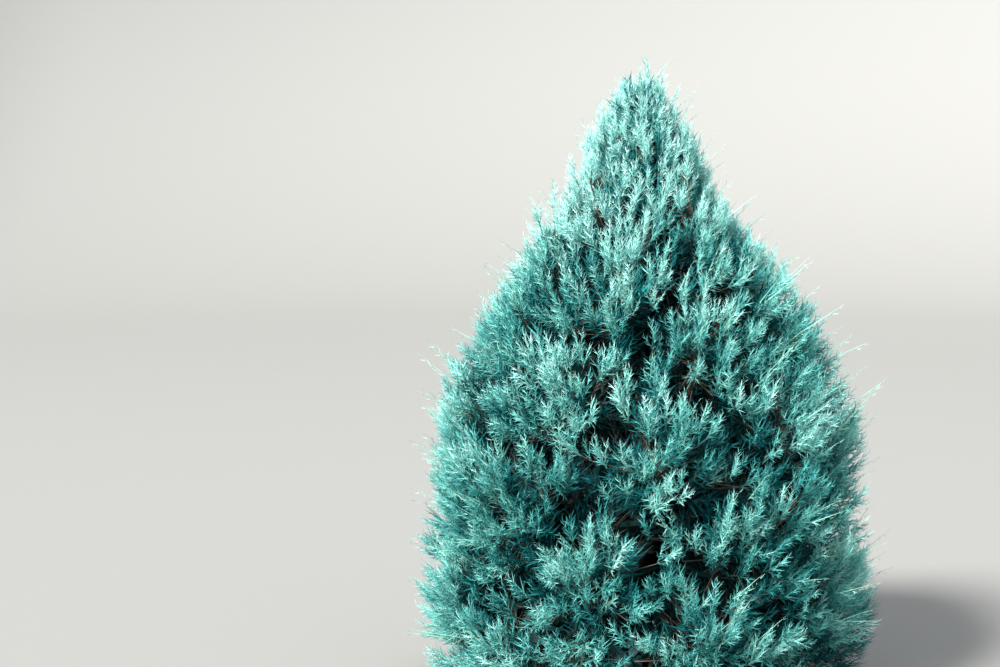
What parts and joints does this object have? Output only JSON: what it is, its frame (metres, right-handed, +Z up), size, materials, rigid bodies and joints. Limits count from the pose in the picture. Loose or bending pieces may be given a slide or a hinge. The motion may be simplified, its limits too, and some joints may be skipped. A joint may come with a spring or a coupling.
{
  "type": "blue conical juniper",
  "caption": "Young upright blue juniper: one leaning trunk, rising boughs and feathery plumes of scale-leaf foliage in a broad cone, cut flat at ground level.",
  "frame": {"origin": "centre of the flat cut under the trunk, at ground level", "axes": "+Z up along the plant's height, which is its longest extent; the trunk's tip drifts towards -X; -Y faces the viewer"},
  "size_m": [1.3669, 1.376, 1.8],
  "materials": {
    "bark": "rough red-brown bark, peeling in narrow strips",
    "foliage": "waxy blue-green scale leaves, paler and silvery at the tips"
  },
  "bodies": {
    "root": {"trunk": "bark", "bough_01": "bark", "bough_02": "bark", "bough_03": "bark", "bough_04": "bark", "bough_05": "bark", "bough_06": "bark", "bough_07": "bark", "bough_08": "bark", "bough_09": "bark", "bough_10": "bark", "bough_11": "bark", "bough_12": "bark", "bough_13": "bark", "bough_14": "bark", "bough_15": "bark", "bough_16": "bark", "bough_17": "bark", "bough_18": "bark", "bough_19": "bark", "bough_20": "bark", "bough_21": "bark", "bough_22": "bark", "foliage_01": "foliage", "foliage_02": "foliage", "foliage_03": "foliage", "foliage_04": "foliage", "foliage_05": "foliage", "foliage_06": "foliage", "foliage_07": "foliage", "foliage_08": "foliage", "foliage_09": "foliage", "foliage_10": "foliage", "foliage_11": "foliage", "foliage_12": "foliage", "foliage_13": "foliage", "foliage_14": "foliage", "foliage_15": "foliage", "foliage_16": "foliage", "foliage_17": "foliage", "foliage_18": "foliage", "foliage_19": "foliage", "foliage_20": "foliage", "foliage_21": "foliage", "foliage_22": "foliage", "foliage_23": "foliage", "foliage_24": "foliage", "foliage_25": "foliage", "foliage_26": "foliage", "foliage_27": "foliage", "foliage_28": "foliage", "foliage_29": "foliage", "foliage_30": "foliage", "foliage_31": "foliage", "foliage_32": "foliage", "foliage_33": "foliage", "foliage_34": "foliage", "foliage_35": "foliage", "foliage_36": "foliage", "foliage_leader": "foliage"}
  },
  "joints": []
}
